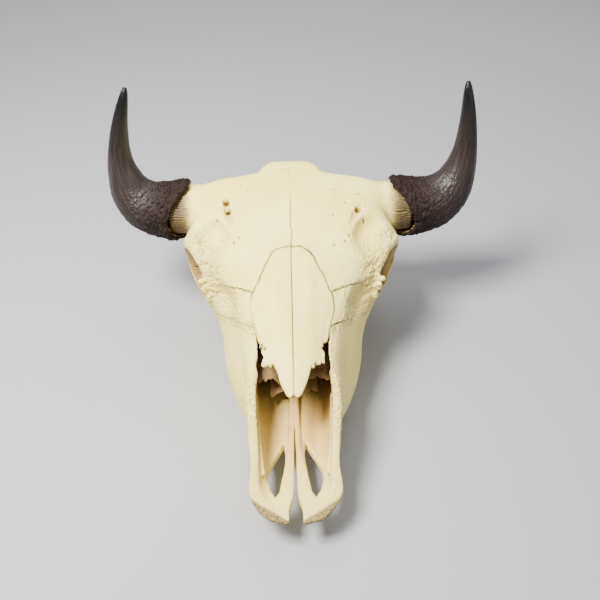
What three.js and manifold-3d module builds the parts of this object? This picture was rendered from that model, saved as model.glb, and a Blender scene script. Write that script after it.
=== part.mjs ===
// Skull of a young American bison bull, without its lower jaw, with both horn sheaths on their bony cores.
// It lies on its cheek teeth and on the two jugular processes behind them.
// Millimetres, +Z up. While the skull is built, y is the distance back from a point just ahead of the snout,
// and the finished group is moved so that the middle of its footprint is the origin. The snout points to -Y
// and the animal's left side is at +X.
// The left half of the skull is shaped first, is then parted along its sutures with thin cuts, and is mirrored.
import * as THREE from "three";
import { LoftGeometry } from "three/addons/geometries/LoftGeometry.js";
import { mergeVertices } from "three/addons/utils/BufferGeometryUtils.js";
import Module from "manifold-3d";

const wasm = await Module();
wasm.setup();

// Driving dimensions
const SUTURE = 0.5; // width of the cut between two bones
const FAR = 400; // reach of a cutting tool past the skull

const SNOUT_TIP = 9;
const FACE_END = 352;
const CAVITY_END = 290;
const WALL = 7; // thickness of the bone over the nasal cavity
const PALATE = 9; // thickness of the bone under it

const NASAL_TIP = 129;
const NASION = 320;
const NASAL_DEPTH = 12;
const OPENING_END = 194; // where the rim of the nose opening meets the nasal bones

const ORBIT = new THREE.Vector3(131, 344, 149);
const ORBIT_FACING = new THREE.Vector3(0.92, -0.33, -0.2).normalize();
const ORBIT_RADIUS = 34;
const ORBIT_RIM = 9;
const SOCKET_DEPTH = 60;

const CORE_RADIUS = 34;
const CORE_END = 176;
const SHEATH_START = 150;
const SHEATH_GAP = 1.5; // room between the core and the sheath

const TOOTH_ROW_START = 160;
const TOOTH_TOP = 36;
const TEETH = [
  // length along the row and width of premolars 2 to 4 and molars 1 to 3
  [19, 17],
  [21, 21],
  [21, 24],
  [27, 26],
  [31, 27],
  [32, 26],
];

const FORAMEN = new THREE.Vector3(0, 500, 87);
const FORAMEN_RADIUS = 20;
const FORAMEN_DEPTH = 34;
const CONDYLE_RADIUS = 17;

// A smooth value along the skull, through knots of [distance back, value].
function along(...knots) {
  const last = knots.length - 1;
  const slope = (i) => {
    const before = knots[Math.max(i - 1, 0)];
    const after = knots[Math.min(i + 1, last)];
    return (after[1] - before[1]) / (after[0] - before[0]);
  };
  return (y) => {
    if (y <= knots[0][0]) return knots[0][1];
    if (y >= knots[last][0]) return knots[last][1];
    const i = knots.findIndex(([k]) => k > y) - 1;
    const step = knots[i + 1][0] - knots[i][0];
    const t = (y - knots[i][0]) / step;
    const rise = knots[i + 1][1] - knots[i][1];
    const bend = (1 - t) * (slope(i) * step - rise) - t * (slope(i + 1) * step - rise);
    return knots[i][1] + rise * t + t * (1 - t) * bend;
  };
}

// Profile lines of the face by distance back: the midline of the nose, then four lines down the side
const nasalLine = along([0, 96], [129, 143], [220, 180], [320, 219], [360, 229]);
const shoulderX = along(
  [9, 14], [16, 34], [28, 47], [48, 55], [100, 56], [150, 58], [193, 52], [250, 62], [300, 84], [352, 104],
);
const shoulderZ = along([9, 55], [48, 70], [100, 99], [150, 128], [193, 158], [250, 184], [300, 197], [352, 210]);
const browX = along(
  [9, 14], [16, 34], [28, 48], [48, 56], [100, 56], [150, 61], [193, 67], [250, 80], [280, 96], [305, 113],
  [352, 131],
);
const browZ = along(
  [9, 52], [48, 62], [100, 80], [150, 95], [193, 112], [250, 140], [280, 155], [305, 163], [352, 172],
);
const cheekX = along(
  [9, 14], [16, 33], [28, 47], [48, 56], [100, 53], [150, 58], [195, 80], [235, 93], [270, 97], [300, 106],
  [352, 116],
);
const cheekZ = along(
  [9, 50], [48, 56], [100, 62], [150, 60], [195, 65], [235, 75], [270, 86], [300, 100], [352, 112],
);
const gumX = along(
  [9, 12], [16, 29], [28, 41], [48, 50], [100, 46], [150, 52], [195, 69], [250, 77], [310, 74], [352, 50],
);
const gumZ = along([9, 48], [48, 45], [100, 36], [150, 29], [195, 26], [310, 26], [352, 62]);
const palateZ = along([9, 46], [48, 42], [100, 40], [150, 43], [200, 46], [310, 50], [352, 74]);

// Profile lines of the roof of the skull, from the forehead to the crest at the back
const roofTop = along([290, 204], [320, 218], [360, 229], [400, 236], [450, 237], [480, 232], [505, 223]);
const roofHalf = along(
  [290, 60], [315, 105], [345, 138], [368, 147], [400, 135], [430, 128], [457, 116], [472, 68], [488, 47], [505, 37],
);
const roofEdge = along([290, 188], [330, 184], [368, 187], [400, 190], [450, 200], [475, 200], [505, 200]);
const roofUnder = along([290, 170], [345, 170], [400, 160], [450, 158], [505, 160]);
const roofSquareness = along([290, 2.3], [370, 2.5], [420, 3.4], [460, 4.4], [505, 4]);

// Profile lines of the braincase
const brainHalf = along([330, 50], [370, 52], [420, 60], [460, 70], [500, 66]);
const brainBottom = along([330, 84], [370, 74], [420, 66], [460, 58], [500, 54]);
const BRAIN_TOP = 205;

// Half-width of the pair of nasal bones, and the rim of the nose opening in side view
const nasalHalf = along(
  [129, 4], [148, 11], [166, 22], [193, 47], [220, 56], [247, 58], [280, 48], [300, 36], [313, 24], [320, 9],
);
const openingEdge = along([-20, 50], [12, 52], [35, 58], [52, 67], [120, 110], [193, 157]);

// The horn leaves the skull sideways, then sweeps up and a little back
const HORN = [
  [SHEATH_START, 440, 189],
  [184, 440, 189],
  [212, 442, 197],
  [232, 447, 216],
  [242, 453, 243],
  [245, 459, 272],
  [242, 470, 313],
  [233, 485, 361],
];
const hornRadius = along(
  [0, 43], [0.12, 42], [0.25, 38.5], [0.36, 32], [0.5, 22.5], [0.62, 16.5], [0.75, 12.5], [0.9, 8], [1, 3],
);

// Solids from geometries

function solid(geometry) {
  const bare = new THREE.BufferGeometry();
  bare.setAttribute("position", geometry.getAttribute("position"));
  bare.setIndex(geometry.index);
  const merged = mergeVertices(bare, 1e-4);
  const vertProperties = new Float32Array(merged.getAttribute("position").array);
  const triVerts = new Uint32Array(merged.index.array);
  return new wasm.Manifold(new wasm.Mesh({ numProp: 3, vertProperties, triVerts }));
}

function geometryOf(made) {
  const { numProp, numVert, vertProperties, triVerts } = made.getMesh();
  const positions = new Float32Array(numVert * 3);
  for (let i = 0; i < numVert; i++) {
    positions.set(vertProperties.subarray(i * numProp, i * numProp + 3), i * 3);
  }
  const geometry = new THREE.BufferGeometry();
  geometry.setAttribute("position", new THREE.BufferAttribute(positions, 3));
  geometry.setIndex(new THREE.BufferAttribute(new Uint32Array(triVerts), 1));
  geometry.computeVertexNormals();
  return geometry;
}

// The same solid on the other side of the skull, with its faces turned to point outwards again.
function mirrored(made) {
  const copy = geometryOf(made).scale(-1, 1, 1);
  const order = copy.index.array;
  for (let i = 0; i < order.length; i += 3) [order[i + 1], order[i + 2]] = [order[i + 2], order[i + 1]];
  return solid(copy);
}

const join = (...solids) => solids.reduce((all, next) => all.add(next));
const bothSides = (made) => made.add(mirrored(made));
const points3 = (points) => points.map((p) => new THREE.Vector3(...p));

function stations(start, end, count) {
  return Array.from({ length: count + 1 }, (_, i) => start + ((end - start) * i) / count);
}

// A loft along +Y through rings of [x, z] points.
function loftAlong(places, ringAt) {
  const sections = places.map((y) => ringAt(y).map(([x, z]) => new THREE.Vector3(x, y, z)));
  return solid(new LoftGeometry(sections, { capStart: true, capEnd: true }));
}

// A rounded ring with unlike heights above and below its widest line.
function ring(half, middle, top, bottom, sides, power = 2) {
  const share = (v) => Math.sign(v) * Math.abs(v) ** (2 / power);
  return Array.from({ length: sides }, (_, i) => {
    const turn = Math.PI / 2 - (2 * Math.PI * i) / sides;
    const rise = share(Math.sin(turn));
    return [half * share(Math.cos(turn)), middle + rise * (rise > 0 ? top - middle : middle - bottom)];
  });
}

// A symmetrical ring through half-profile points, from the top of the midline to its bottom.
function profileRing(points, perSpan) {
  const inner = points.slice(1, -1);
  const back = inner.toReversed().map(([x, z]) => [-x, z]);
  const loop = [points[0], ...inner, points.at(-1), ...back].map(([x, z]) => new THREE.Vector3(x, 0, z));
  const line = new THREE.CatmullRomCurve3(loop, true, "centripetal");
  const count = loop.length * perSpan;
  return Array.from({ length: count }, (_, i) => line.getPoint(i / count)).map((p) => [p.x, p.z]);
}

// A tube along a path, with an oval section whose radii, across and upright, go by the share of the path.
function tube(points, radiiAt, steps, sides, upright = new THREE.Vector3(0, 0, 1)) {
  const path = new THREE.CatmullRomCurve3(points, false, "centripetal");
  const sections = stations(0, 1, steps).map((share) => {
    const centre = path.getPointAt(share);
    const forward = path.getTangentAt(share);
    const across = new THREE.Vector3().crossVectors(upright, forward).normalize();
    const up = new THREE.Vector3().crossVectors(forward, across);
    const [wide, tall] = radiiAt(share);
    return Array.from({ length: sides }, (_, i) => {
      const turn = (2 * Math.PI * i) / sides;
      const offset = across.clone().multiplyScalar(wide * Math.cos(turn));
      return centre.clone().add(offset.addScaledVector(up, tall * Math.sin(turn)));
    });
  });
  return solid(new LoftGeometry(sections, { capStart: true, capEnd: true }));
}

function ellipsoid([x, y, z], [rx, ry, rz], sides = 12) {
  const ball = new THREE.SphereGeometry(1, sides, Math.round(sides * 0.6));
  return solid(ball.scale(rx, ry, rz).translate(x, y, z));
}

const outlineShape = (points) => new THREE.Shape(points.map(([u, v]) => new THREE.Vector2(u, v)));

// A prism over an outline of [x, y] points, from one height to another.
function standing(points, low, high) {
  const made = new THREE.ExtrudeGeometry(outlineShape(points), { depth: high - low, bevelEnabled: false });
  return solid(made.translate(0, 0, low));
}

// A prism over an outline of [y, z] points, from one x to another.
function lying(points, start, end) {
  const made = new THREE.ExtrudeGeometry(outlineShape(points), { depth: end - start, bevelEnabled: false });
  const [alongY, alongZ, alongX] = points3([[0, 1, 0], [0, 0, 1], [1, 0, 0]]);
  return solid(made.applyMatrix4(new THREE.Matrix4().makeBasis(alongY, alongZ, alongX)).translate(start, 0, 0));
}

// All that lies above the floor and past a plane on the animal's left of the midline.
const leftOf = (x) => lying([[-FAR, 0], [2 * FAR, 0], [2 * FAR, FAR], [-FAR, FAR]], x, FAR);

// The outer form

function face() {
  const places = [SNOUT_TIP, 16, 28, ...stations(48, FACE_END, 14)];
  return loftAlong(places, (y) =>
    profileRing(
      [
        [0, nasalLine(y)],
        [shoulderX(y), shoulderZ(y)],
        [browX(y), browZ(y)],
        [cheekX(y), cheekZ(y)],
        [gumX(y), gumZ(y)],
        [0, palateZ(y)],
      ],
      2,
    ),
  );
}

function roof() {
  return loftAlong(stations(290, 505, 10), (y) =>
    ring(roofHalf(y), roofEdge(y), roofTop(y), roofUnder(y), 20, roofSquareness(y)),
  );
}

function braincase() {
  return loftAlong(stations(330, 500, 4), (y) => {
    const bottom = brainBottom(y);
    return ring(brainHalf(y), (BRAIN_TOP + bottom) / 2, BRAIN_TOP, bottom, 14, 2.6);
  });
}

// The nuchal plate at the back: crest above, the two mastoid corners at the sides, base below.
function occiput() {
  const half = [
    [0, 222],
    [44, 210],
    [76, 172],
    [103, 124],
    [96, 84],
    [56, 56],
    [0, 52],
  ];
  const middle = 130;
  const share = along([458, 0.8], [474, 0.97], [486, 1], [497, 0.93], [506, 0.72]);
  return loftAlong(stations(458, 506, 5), (y) =>
    profileRing(half.map(([x, z]) => [x * share(y), middle + (z - middle) * share(y)]), 2),
  );
}

// The bearing for the neck: a thick kidney-shaped roll beside the opening for the spinal cord.
function condyle() {
  const path = points3([[13, 498, 54], [25, 507, 58], [37, 508, 72], [40, 500, 92]]);
  const thick = (s) => CONDYLE_RADIUS * (0.72 + 0.28 * Math.sin(Math.PI * s));
  return tube(path, (s) => [thick(s), thick(s)], 4, 8, new THREE.Vector3(0, 1, 0));
}

// The raised rim of the eye socket, and the flared wall that carries it.
function orbitRim() {
  const turn = new THREE.Quaternion().setFromUnitVectors(new THREE.Vector3(0, 0, 1), ORBIT_FACING);
  const rim = new THREE.TorusGeometry(ORBIT_RADIUS + ORBIT_RIM * 0.5, ORBIT_RIM, 5, 12);
  const inner = ORBIT.clone().addScaledVector(ORBIT_FACING, -SOCKET_DEPTH * 1.2);
  const wall = tube([inner, ORBIT], (share) => [57 - 15 * share, 57 - 15 * share], 1, 12);
  return wall.add(solid(rim.applyQuaternion(turn).translate(ORBIT.x, ORBIT.y, ORBIT.z)));
}

// The bony core of the horn, or with a gap the room it needs.
function hornCore(gap = 0) {
  const path = points3([[92, 438, 191], [130, 439, 190], [CORE_END + gap, 440, 189]]);
  const radius = (s) => CORE_RADIUS + 3 - 4 * s + gap;
  return tube(path, (s) => [radius(s), radius(s)], 2, 12);
}

function zygomaticArch() {
  const path = points3([
    [104, 322, 98],
    [120, 352, 96],
    [127, 384, 98],
    [124, 418, 104],
    [108, 446, 108],
    [78, 462, 110],
  ]);
  const tall = along([0, 18], [0.3, 14], [0.6, 10], [0.8, 11], [1, 14]);
  return tube(path, (s) => [7, tall(s)], 6, 6);
}

// The bar behind the eye, from the frontal bone down to the arch.
function postorbitalBar() {
  const path = points3([[138, 374, 190], [139, 381, 160], [132, 378, 126], [124, 368, 98]]);
  return tube(path, (s) => [7, 13 - 3 * Math.sin(Math.PI * s)], 4, 6, new THREE.Vector3(0, -1, 0));
}

// The blade that hangs behind the ear and carries the back of the skull.
function jugularProcess() {
  const path = points3([[74, 482, 78], [78, 484, 44], [74, 482, 18], [70, 480, -8]]);
  return tube(path, (s) => [11 - 4 * s, 19 - 9 * s], 4, 6, new THREE.Vector3(0, -1, 0));
}

const earCapsule = () => ellipsoid([48, 456, 54], [17, 24, 20], 7);
const jawSocket = () => ellipsoid([92, 454, 96], [28, 22, 18], 8);

// The blade beside the inner nostrils.
function pterygoid() {
  const path = points3([[34, 306, 52], [30, 330, 50], [27, 352, 58], [26, 372, 78]]);
  return tube(path, () => [4, 16], 4, 6);
}

// One cheek tooth: a block with a rounded, two-lobed outline that stands on the floor.
function tooth(start, length, width, middle) {
  const count = 8;
  const outline = Array.from({ length: count }, (_, i) => {
    const turn = (2 * Math.PI * i) / count;
    const [across, back] = [Math.sin(turn), Math.cos(turn)];
    const square = 1 / Math.max(Math.abs(across), Math.abs(back));
    const reach = 0.5 * (0.7 * square + 0.3) * (1 - 0.12 * across ** 8);
    return [middle + width * reach * across, start + length / 2 + length * reach * back];
  });
  return standing(outline.toReversed(), 0, TOOTH_TOP);
}

function toothRow() {
  let start = TOOTH_ROW_START;
  const teeth = TEETH.map(([length, width]) => {
    const made = tooth(start, length, width, gumX(start + length / 2) - width / 2 - 2);
    start += length;
    return made;
  });
  return join(...teeth);
}

// The hollows

function nasalCavity() {
  const half = along([-10, 46], [50, 47], [100, 48], [150, 50], [193, 46], [250, 50], [CAVITY_END, 40]);
  return loftAlong(stations(-10, CAVITY_END, 8), (y) => {
    const top = nasalLine(y) - WALL;
    const bottom = palateZ(y) + PALATE;
    return ring(half(y), bottom + (top - bottom) * 0.45, top, bottom, 14, 2.7);
  });
}

// All that lies above the rim of the nose opening, in front of and beside the nasal bones.
function noseOpening() {
  const edge = stations(-20, OPENING_END, 7).map((y) => [y, openingEdge(y)]);
  const wedge = lying([...edge, [OPENING_END, FAR], [-20, FAR]], -FAR, FAR);
  return wedge.subtract(standing(nasalOutline(0), 0, FAR));
}

function orbitSocket() {
  const inner = ORBIT.clone().addScaledVector(ORBIT_FACING, -SOCKET_DEPTH);
  const outer = ORBIT.clone().addScaledVector(ORBIT_FACING, 3 * ORBIT_RIM);
  const radius = along([0, 6], [0.12, 20], [0.4, 32], [0.68, ORBIT_RADIUS], [1, ORBIT_RADIUS + 2]);
  return tube([inner, outer], (share) => [radius(share), radius(share)], 4, 12);
}

// The hollow behind the bar of the eye, between the braincase and the zygomatic arch.
const temporalFossa = () => ellipsoid([99, 404, 140], [33, 44, 30], 10);

function palatineFissure() {
  const outline = [
    [25, 49],
    [31, 60],
    [32, 82],
    [26, 96],
    [14, 119],
    [13, 100],
    [17, 72],
    [21, 54],
  ];
  return standing(outline, 0, 70);
}

// The slit between the two halves of the tip, which widens to a notch in front.
function midlineSlit() {
  const half = along([-20, 8], [16, 8.5], [28, 8], [40, 4], [52, 2.2], [110, 1], [150, 0.5]);
  const edge = stations(-20, 150, 6).map((y) => [half(y), y]);
  return standing([...edge, ...edge.toReversed().map(([x, y]) => [-x, y])], 0, 62);
}

function foramenMagnum() {
  const inner = FORAMEN.clone().setY(FORAMEN.y - FORAMEN_DEPTH);
  const outer = FORAMEN.clone().setY(FORAMEN.y + FORAMEN_DEPTH);
  return tube([inner, outer], () => [FORAMEN_RADIUS, FORAMEN_RADIUS], 1, 12);
}

// The inner nostrils open under the back of the skull, between the pterygoid blades.
const choana = () => loftAlong(stations(312, 372, 2), (y) => ring(20, 66, 88 - (y - 312) * 0.12, 20, 12, 2.6));

// The left half of the whole skull, cut off at the midline and at the floor

function leftHalf() {
  const outer = join(
    face(),
    roof(),
    braincase(),
    occiput(),
    condyle(),
    orbitRim(),
    hornCore(),
    postorbitalBar(),
    jugularProcess(),
    earCapsule(),
    jawSocket(),
    pterygoid(),
    toothRow(),
  );
  const hollows = join(
    nasalCavity(),
    noseOpening(),
    midlineSlit(),
    palatineFissure(),
    orbitSocket(),
    temporalFossa(),
    choana(),
    foramenMagnum(),
  );
  return outer.subtract(hollows).add(zygomaticArch()).intersect(leftOf(0));
}

// The sutures

// An outline, anticlockwise, moved outwards by a margin at every corner.
function grown(points, margin) {
  const count = points.length;
  const normal = ([u, v], [s, t]) => new THREE.Vector2(t - v, u - s).normalize();
  return points.map((point, i) => {
    const before = normal(points[(i + count - 1) % count], point);
    const after = normal(point, points[(i + 1) % count]);
    const shift = before.clone().add(after).multiplyScalar(margin / (1 + before.dot(after)));
    return [point[0] + shift.x, point[1] + shift.y];
  });
}

function nasalOutline(margin) {
  const edge = stations(NASAL_TIP, NASION, 13).map((y) => [nasalHalf(y), y]);
  return grown([...edge, ...edge.toReversed().map(([x, y]) => [-x, y])], margin);
}

function nasalRegion(margin) {
  const under = stations(NASAL_TIP - 10, NASION + 10, 5).map((y) => [y, nasalLine(y) - NASAL_DEPTH - margin]);
  const above = lying([...under, [NASION + 10, FAR], [NASAL_TIP - 10, FAR]], -FAR, FAR);
  return standing(nasalOutline(margin), 0, FAR).intersect(above);
}

// The front of the snout, with the two processes that run back along its sides and its midline.
function premaxillaRegion(margin) {
  const side = [
    [-FAR, -FAR],
    [98, -FAR],
    [102, 48],
    [128, 84],
    [160, 140],
    [160, FAR],
    [-FAR, FAR],
  ];
  const midline = [
    [-9, 90],
    [9, 90],
    [8, 142],
    [-8, 142],
  ];
  return lying(grown(side, margin), -FAR, FAR).add(standing(grown(midline, margin), 0, 66 + margin));
}

// The wall between the nose, the forehead and the front of the eye socket.
function lacrimalRegion(margin) {
  const fromSide = [
    [203, 168],
    [250, 138],
    [290, 121],
    [338, 113],
    [338, 152],
    [302, 162],
    [275, 177],
    [248, 188],
    [203, 215],
  ];
  return lying(grown(fromSide, margin), 36 - margin, FAR);
}

// The cheekbone under the eye, with the front of the arch and the lower half of the bar behind the eye.
function zygomaticRegion(margin) {
  const fromSide = [
    [262, 90],
    [285, 64],
    [330, 56],
    [428, 60],
    [408, 138],
    [356, 138],
    [345, 118],
    [290, 120],
  ];
  return lying(grown(fromSide, margin), 72 - margin, FAR);
}

function maxillaRegion(margin) {
  const fromSide = [
    [60, -FAR],
    [332, -FAR],
    [332, 106],
    [290, 121],
    [250, 138],
    [203, 168],
    [203, FAR],
    [60, FAR],
  ];
  return lying(grown(fromSide, margin), 0, FAR);
}

function frontalRegion(margin) {
  const fromSide = [
    [200, 160],
    [345, 138],
    [400, 138],
    [404, 162],
    [478, 166],
    [466, FAR],
    [200, FAR],
  ];
  return lying(grown(fromSide, margin), 0, FAR);
}

// The bones of the left side, each cut out of what is left of the skull with a suture's width of room
// around it, and the braincase that remains in the middle.
function bones() {
  const regions = {
    nasal: nasalRegion,
    premaxilla: premaxillaRegion,
    lacrimal: lacrimalRegion,
    zygomatic: zygomaticRegion,
    maxilla: maxillaRegion,
    frontal: frontalRegion,
  };
  const paired = {};
  let rest = leftHalf();
  for (const [name, region] of Object.entries(regions)) {
    paired[name] = rest.intersect(region(0)).intersect(leftOf(SUTURE / 2));
    rest = rest.subtract(region(SUTURE));
  }
  return { paired, middle: bothSides(rest) };
}

// The scroll of bone inside the nose, which reaches forward from the back of the nasal cavity.
function turbinate() {
  const path = points3([
    [27, 188, 98],
    [27, 215, 112],
    [26, 250, 128],
    [23, 272, 132],
    [22, CAVITY_END - 2, 132],
  ]);
  return tube(path, (s) => [12 - 3 * s, 15 + 3 * Math.sin(Math.PI * s)], 4, 8);
}

// The horn sheath, hollow at its root where the core enters.
function hornSheath() {
  return tube(points3(HORN), (s) => [hornRadius(s), hornRadius(s)], 14, 10, new THREE.Vector3(0, 1, 0)).subtract(
    hornCore(SHEATH_GAP),
  );
}

const boneMaterial = new THREE.MeshStandardMaterial({ color: 0xe8e0c8, roughness: 0.6, metalness: 0 });
const innerBoneMaterial = new THREE.MeshStandardMaterial({ color: 0xc9a978, roughness: 0.75, metalness: 0 });
const hornMaterial = new THREE.MeshStandardMaterial({ color: 0x2b211d, roughness: 0.45, metalness: 0 });

function assemble() {
  const { paired, middle } = bones();
  const group = new THREE.Group();
  group.name = "bison_skull";
  const place = (name, geometry, material, side = 1) => {
    const mesh = new THREE.Mesh(geometry, material);
    mesh.name = name;
    mesh.scale.x = side;
    group.add(mesh);
  };
  const placePair = (name, made, material) => {
    place(`${name}_left`, geometryOf(made), material);
    place(`${name}_right`, geometryOf(made), material, -1);
  };
  for (const [name, made] of Object.entries(paired)) placePair(name, made, boneMaterial);
  place("braincase", geometryOf(middle), boneMaterial);
  placePair("turbinate", turbinate(), innerBoneMaterial);
  placePair("horn_sheath", hornSheath(), hornMaterial);
  const centre = new THREE.Box3().setFromObject(group).getCenter(new THREE.Vector3());
  for (const mesh of group.children) mesh.position.y = -centre.y;
  return group;
}

export default assemble();
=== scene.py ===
import bpy
import numpy as np
from mathutils import Matrix


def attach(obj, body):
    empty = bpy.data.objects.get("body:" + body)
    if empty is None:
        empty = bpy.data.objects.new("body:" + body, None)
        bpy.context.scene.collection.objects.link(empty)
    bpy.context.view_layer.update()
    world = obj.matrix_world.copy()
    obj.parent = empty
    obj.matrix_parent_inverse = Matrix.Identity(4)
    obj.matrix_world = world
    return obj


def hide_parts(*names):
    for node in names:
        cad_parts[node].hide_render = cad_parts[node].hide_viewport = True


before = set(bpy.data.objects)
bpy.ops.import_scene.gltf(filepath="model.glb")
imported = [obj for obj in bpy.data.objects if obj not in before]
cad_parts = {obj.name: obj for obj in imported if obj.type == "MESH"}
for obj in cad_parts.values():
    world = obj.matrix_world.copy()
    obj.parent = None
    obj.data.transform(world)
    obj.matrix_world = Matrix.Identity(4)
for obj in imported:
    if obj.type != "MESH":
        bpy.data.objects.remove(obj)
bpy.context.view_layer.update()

# The face
# The long wedge of bone from the tip of the snout to the eye sockets, ivory and a little waxy outside.
# Its rings run through six profile lines and are read by their radius in each direction. Millimetres, with
# x to the animal's left, y back from the snout and z up.
PITCH = 1.25
LOW = np.array([-3 * PITCH, 2.0, -3 * PITCH])
COUNT = np.ceil((np.array([180.0, 531.0, 246.0]) - LOW) / PITCH).astype(int)
ROWS = LOW[1] + PITCH * np.arange(COUNT[1])
DIRECTIONS = np.linspace(0, np.pi, 361)


def along(*knots):
    """A line of values through knots: cubics between them, the slope at a knot that of its neighbours."""
    place, value = np.array(knots, float).T
    slope = np.empty_like(value)
    slope[1:-1] = (value[2:] - value[:-2]) / (place[2:] - place[:-2])
    slope[0] = (value[1] - value[0]) / (place[1] - place[0])
    slope[-1] = (value[-1] - value[-2]) / (place[-1] - place[-2])
    fine = np.linspace(place[0], place[-1], 801)
    i = np.clip(np.searchsorted(place, fine, "right") - 1, 0, len(place) - 2)
    step = place[i + 1] - place[i]
    t = (fine - place[i]) / step
    rise = value[i + 1] - value[i]
    bend = (1 - t) * (slope[i] * step - rise) - t * (slope[i + 1] * step - rise)
    table = value[i] + rise * t + t * (1 - t) * bend
    return lambda at: np.interp(at, fine, table).astype(np.float32)


nasal_line = along((0, 96), (129, 143), (220, 181), (280, 204), (320, 214), (350, 214), (374, 200))
shoulder_x = along(
    (9, 14), (16, 34), (28, 47), (48, 55), (74, 53), (100, 55), (150, 58), (193, 52), (250, 62),
    (300, 84), (345, 98), (374, 96),
)
shoulder_z = along(
    (9, 55), (48, 70), (100, 99), (150, 127), (193, 148), (220, 161), (250, 175), (300, 191), (345, 199),
    (374, 184),
)
brow_x = along(
    (9, 14), (16, 34), (28, 48), (48, 57), (74, 54), (100, 55), (150, 61), (193, 67), (250, 80),
    (280, 96), (305, 112), (345, 124), (374, 112),
)
brow_z = along(
    (9, 52), (48, 62), (100, 80), (150, 95), (193, 112), (250, 140), (280, 155), (305, 162), (345, 166),
    (374, 158),
)
cheek_x = along(
    (9, 14), (16, 33), (28, 47), (48, 56), (100, 53), (150, 58), (195, 80), (235, 93), (270, 97),
    (300, 105), (345, 108), (374, 98),
)
cheek_z = along(
    (9, 50), (48, 56), (100, 62), (150, 60), (195, 65), (235, 75), (270, 86), (300, 100), (345, 112),
    (374, 120),
)
gum_x = along(
    (9, 12), (16, 29), (28, 41), (48, 50), (100, 46), (150, 52), (195, 69), (250, 77), (310, 74),
    (345, 52), (374, 42),
)
gum_z = along((9, 48), (48, 45), (100, 36), (150, 29), (195, 26), (310, 26), (345, 56), (374, 80))
palate_z = along((9, 46), (48, 42), (100, 40), (150, 43), (200, 46), (310, 50), (345, 70), (374, 90))


def least(p, q, soft):
    """The smaller of two distances, less a fillet soft * h * (1 - h), h going from 0 to 1 between them."""
    h = np.clip(0.5 + 0.5 * (q - p) / soft, 0, 1)
    return q + (p - q) * h - soft * h * (1 - h)


def most(p, q, soft):
    """The larger of two distances, with the same fillet turned inwards."""
    return -least(-p, -q, soft)


def places(x, y, z):
    """Points to measure at, with the row of the ring tables that each lies on."""
    row = np.clip(np.rint((y - LOW[1]) / PITCH), 0, COUNT[1] - 1).astype(np.int32)
    return {"x": np.float32(x), "y": np.float32(y), "z": np.float32(z), "row": row}


def rounded_half(points, per_span=24):
    """Half outlines from the top of the midline to its bottom, closed by their mirror image and rounded by a
    centripetal curve: cubic spans whose parameter goes by the square root of the distance between points."""
    loop = np.concatenate([points, points[:, -2:0:-1] * np.array([-1.0, 1.0])], axis=1)
    before, after, beyond = np.roll(loop, 1, 1), np.roll(loop, -1, 1), np.roll(loop, -2, 1)
    gap = [np.sqrt(np.maximum(np.linalg.norm(d, axis=2, keepdims=True), 1e-6))
           for d in (loop - before, after - loop, beyond - after)]
    leave = (loop - before) / gap[0] - (after - before) / (gap[0] + gap[1]) + (after - loop) / gap[1]
    arrive = (after - loop) / gap[1] - (beyond - loop) / (gap[1] + gap[2]) + (beyond - after) / gap[2]
    leave, arrive = leave * gap[1], arrive * gap[1]
    t = (np.arange(per_span) / per_span)[None, None, :, None]
    curve = (2 * t**3 - 3 * t**2 + 1) * loop[:, :, None] + (t**3 - 2 * t**2 + t) * leave[:, :, None]
    curve = curve + (3 * t**2 - 2 * t**3) * after[:, :, None] + (t**3 - t**2) * arrive[:, :, None]
    half = curve[:, : points.shape[1] - 1].reshape(len(points), -1, 2)
    return np.concatenate([half, points[:, -1:]], axis=1)


def radius_by_direction(outline, middle):
    """Radius of each half outline about a middle height, by the angle from straight up to straight down."""
    table = np.empty((len(outline), len(DIRECTIONS)))
    for i, (ring, height) in enumerate(zip(outline, middle)):
        angle = np.arctan2(np.maximum(ring[:, 0], 0), ring[:, 1] - height)
        order = np.argsort(angle, kind="stable")
        table[i] = np.interp(DIRECTIONS, angle[order], np.hypot(ring[:, 0], ring[:, 1] - height)[order])
    return table


def rounded_box(half, above, below, power):
    """Radius by direction of an oval: half-axes added by a power, 2 for an ellipse, more if squarer."""
    rise = np.where(np.cos(DIRECTIONS)[None] >= 0, above[:, None], below[:, None])
    share = (np.sin(DIRECTIONS)[None] / half[:, None]) ** power[:, None]
    return (share + (np.abs(np.cos(DIRECTIONS))[None] / rise) ** power[:, None]) ** (-1 / power[:, None])


def form(table, middle, start, end):
    """Distance to a body given by its radius by direction on each row: (distance from the axis - radius),
    divided by the steepness of the surface, and closed by a rounded plane at each end."""
    turn = np.gradient(table, DIRECTIONS, axis=1) / table
    rise = np.clip(np.gradient(table, PITCH, axis=0), -1.5, 1.5)
    lean = (1 / np.sqrt(1 + turn**2 + rise**2)).astype(np.float32)
    radius = table.astype(np.float32)
    height = np.asarray(middle, np.float32)
    last = len(DIRECTIONS) - 1

    def distance(p):
        up = p["z"] - height[p["row"]]
        angle = np.arctan2(np.abs(p["x"]), up) * np.float32(last / np.pi)
        i = np.minimum(angle.astype(np.int32), last - 1)
        t = angle - i
        reach = radius[p["row"], i] * (1 - t) + radius[p["row"], i + 1] * t
        out = (np.hypot(p["x"], up) - reach) * lean[p["row"], i]
        return most(most(out, start - p["y"], 6.0), p["y"] - end, 6.0)

    return distance


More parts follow.
